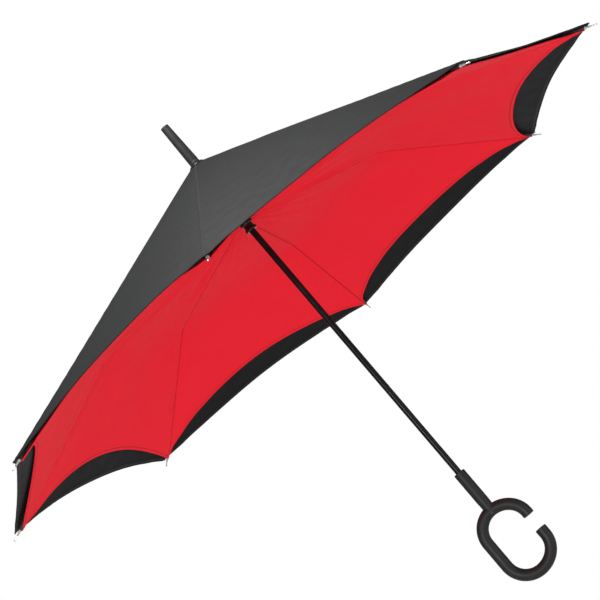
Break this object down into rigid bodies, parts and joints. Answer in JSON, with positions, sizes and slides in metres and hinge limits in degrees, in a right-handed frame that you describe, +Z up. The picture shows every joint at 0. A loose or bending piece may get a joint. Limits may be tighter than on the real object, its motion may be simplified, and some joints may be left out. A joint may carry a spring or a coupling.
{
  "type": "stick umbrella",
  "caption": "Inverted stick umbrella, open: two canopies over sprung ribs, a sliding runner that folds them upward, a slim shaft, a tapered ferrule and a C-shaped hands-free handle.",
  "frame": {"origin": "middle of the handle's ring, on the shaft's axis, where a hand holds it", "axes": "+Z up the shaft to the ferrule, +X to the gap in the handle's ring, +Y square to the ring"},
  "size_m": [1.057, 1.057, 0.8007],
  "materials": {
    "black_metal": "gloss black lacquer on drawn steel",
    "steel": "bright drawn wire",
    "grip": "soft-touch matt black coating over moulded plastic",
    "moulded_black": "smooth moulded black plastic with a light gloss",
    "glass_fibre": "black pultruded glass fibre with a faint grain along its length",
    "tip_plastic": "milky white, slightly translucent moulded plastic with a steel pin",
    "outer_fabric": "black plain-woven pongee, soft sheen, sewn gore seams and rolled hem",
    "inner_fabric": "red plain-woven pongee, soft sheen, sewn gore seams and rolled hem"
  },
  "bodies": {
    "stem": {"shaft": "black_metal", "handle": "grip", "ferrule": "grip", "canopy_washer": "moulded_black", "crown_notch": "moulded_black", "crown_wire": "steel", "crown_pin": "steel", "stop_pin": "steel", "outer_canopy": "outer_fabric"},
    "slider": {"runner": "moulded_black", "runner_wire": "steel", "runner_cap": "moulded_black", "inner_canopy": "inner_fabric"},
    "catch": {"top_catch": "steel"},
    "rib_1": {"rib_channel_1": "black_metal", "rib_rod_1": "glass_fibre", "rib_clamp_1": "moulded_black", "rib_tip_1": "tip_plastic"},
    "strut_arm_1": {"strut_1": "black_metal"},
    "rib_2": {"rib_channel_2": "black_metal", "rib_rod_2": "glass_fibre", "rib_clamp_2": "moulded_black", "rib_tip_2": "tip_plastic"},
    "strut_arm_2": {"strut_2": "black_metal"},
    "rib_3": {"rib_channel_3": "black_metal", "rib_rod_3": "glass_fibre", "rib_clamp_3": "moulded_black", "rib_tip_3": "tip_plastic"},
    "strut_arm_3": {"strut_3": "black_metal"},
    "rib_4": {"rib_channel_4": "black_metal", "rib_rod_4": "glass_fibre", "rib_clamp_4": "moulded_black", "rib_tip_4": "tip_plastic"},
    "strut_arm_4": {"strut_4": "black_metal"},
    "rib_5": {"rib_channel_5": "black_metal", "rib_rod_5": "glass_fibre", "rib_clamp_5": "moulded_black", "rib_tip_5": "tip_plastic"},
    "strut_arm_5": {"strut_5": "black_metal"},
    "rib_6": {"rib_channel_6": "black_metal", "rib_rod_6": "glass_fibre", "rib_clamp_6": "moulded_black", "rib_tip_6": "tip_plastic"},
    "strut_arm_6": {"strut_6": "black_metal"},
    "rib_7": {"rib_channel_7": "black_metal", "rib_rod_7": "glass_fibre", "rib_clamp_7": "moulded_black", "rib_tip_7": "tip_plastic"},
    "strut_arm_7": {"strut_7": "black_metal"},
    "rib_8": {"rib_channel_8": "black_metal", "rib_rod_8": "glass_fibre", "rib_clamp_8": "moulded_black", "rib_tip_8": "tip_plastic"},
    "strut_arm_8": {"strut_8": "black_metal"}
  },
  "joints": [
    {"name": "runner_slide", "type": "slide", "parent": "stem", "child": "slider", "axis": [0, 0, -1], "range_m": [0, 0.406], "deforming": ["outer_canopy", "inner_canopy"]},
    {"name": "catch_press", "type": "slide", "parent": "stem", "child": "catch", "axis": [0, -1, 0], "range_m": [0, 0.0022], "stiffness_N_per_m": 400},
    {"name": "rib_hinge_1", "type": "hinge", "parent": "slider", "child": "rib_1", "pos_m": [0.01165, -0.00376, 0.573], "axis": [-0.1149, -0.9934, 0], "range_deg": [0, 91.9]},
    {"name": "strut_hinge_1", "type": "hinge", "parent": "stem", "child": "strut_arm_1", "pos_m": [0.01021, 0.00123, 0.658], "axis": [0.1149, 0.9934, 0], "range_deg": [0, 64.8]},
    {"name": "rib_hinge_2", "type": "hinge", "parent": "slider", "child": "rib_2", "pos_m": [0.0109, 0.00557, 0.573], "axis": [0.6211, -0.7837, 0], "range_deg": [0, 91.9]},
    {"name": "strut_hinge_2", "type": "hinge", "parent": "stem", "child": "strut_arm_2", "pos_m": [0.00635, 0.00809, 0.658], "axis": [-0.6211, 0.7837, 0], "range_deg": [0, 64.8]},
    {"name": "rib_hinge_3", "type": "hinge", "parent": "slider", "child": "rib_3", "pos_m": [0.00376, 0.01165, 0.573], "axis": [0.9934, -0.1149, 0], "range_deg": [0, 91.9]},
    {"name": "strut_hinge_3", "type": "hinge", "parent": "stem", "child": "strut_arm_3", "pos_m": [-0.00123, 0.01021, 0.658], "axis": [-0.9934, 0.1149, 0], "range_deg": [0, 64.8]},
    {"name": "rib_hinge_4", "type": "hinge", "parent": "slider", "child": "rib_4", "pos_m": [-0.00557, 0.0109, 0.573], "axis": [0.7837, 0.6211, 0], "range_deg": [0, 91.9]},
    {"name": "strut_hinge_4", "type": "hinge", "parent": "stem", "child": "strut_arm_4", "pos_m": [-0.00809, 0.00635, 0.658], "axis": [-0.7837, -0.6211, 0], "range_deg": [0, 64.8]},
    {"name": "rib_hinge_5", "type": "hinge", "parent": "slider", "child": "rib_5", "pos_m": [-0.01165, 0.00376, 0.573], "axis": [0.1149, 0.9934, 0], "range_deg": [0, 91.9]},
    {"name": "strut_hinge_5", "type": "hinge", "parent": "stem", "child": "strut_arm_5", "pos_m": [-0.01021, -0.00123, 0.658], "axis": [-0.1149, -0.9934, 0], "range_deg": [0, 64.8]},
    {"name": "rib_hinge_6", "type": "hinge", "parent": "slider", "child": "rib_6", "pos_m": [-0.0109, -0.00557, 0.573], "axis": [-0.6211, 0.7837, 0], "range_deg": [0, 91.9]},
    {"name": "strut_hinge_6", "type": "hinge", "parent": "stem", "child": "strut_arm_6", "pos_m": [-0.00635, -0.00809, 0.658], "axis": [0.6211, -0.7837, 0], "range_deg": [0, 64.8]},
    {"name": "rib_hinge_7", "type": "hinge", "parent": "slider", "child": "rib_7", "pos_m": [-0.00376, -0.01165, 0.573], "axis": [-0.9934, 0.1149, 0], "range_deg": [0, 91.9]},
    {"name": "strut_hinge_7", "type": "hinge", "parent": "stem", "child": "strut_arm_7", "pos_m": [0.00123, -0.01021, 0.658], "axis": [0.9934, -0.1149, 0], "range_deg": [0, 64.8]},
    {"name": "rib_hinge_8", "type": "hinge", "parent": "slider", "child": "rib_8", "pos_m": [0.00557, -0.0109, 0.573], "axis": [-0.7837, -0.6211, 0], "range_deg": [0, 91.9]},
    {"name": "strut_hinge_8", "type": "hinge", "parent": "stem", "child": "strut_arm_8", "pos_m": [0.00809, -0.00635, 0.658], "axis": [0.7837, 0.6211, 0], "range_deg": [0, 64.8]}
  ],
  "couplings": [
    {"joint": "rib_hinge_1", "follows": "runner_slide", "rad_per_m": 3.9456},
    {"joint": "strut_hinge_1", "follows": "runner_slide", "rad_per_m": 2.7798},
    {"joint": "rib_hinge_2", "follows": "runner_slide", "rad_per_m": 3.9456},
    {"joint": "strut_hinge_2", "follows": "runner_slide", "rad_per_m": 2.7798},
    {"joint": "rib_hinge_3", "follows": "runner_slide", "rad_per_m": 3.9456},
    {"joint": "strut_hinge_3", "follows": "runner_slide", "rad_per_m": 2.7798},
    {"joint": "rib_hinge_4", "follows": "runner_slide", "rad_per_m": 3.9456},
    {"joint": "strut_hinge_4", "follows": "runner_slide", "rad_per_m": 2.7798},
    {"joint": "rib_hinge_5", "follows": "runner_slide", "rad_per_m": 3.9456},
    {"joint": "strut_hinge_5", "follows": "runner_slide", "rad_per_m": 2.7798},
    {"joint": "rib_hinge_6", "follows": "runner_slide", "rad_per_m": 3.9456},
    {"joint": "strut_hinge_6", "follows": "runner_slide", "rad_per_m": 2.7798},
    {"joint": "rib_hinge_7", "follows": "runner_slide", "rad_per_m": 3.9456},
    {"joint": "strut_hinge_7", "follows": "runner_slide", "rad_per_m": 2.7798},
    {"joint": "rib_hinge_8", "follows": "runner_slide", "rad_per_m": 3.9456},
    {"joint": "strut_hinge_8", "follows": "runner_slide", "rad_per_m": 2.7798}
  ]
}
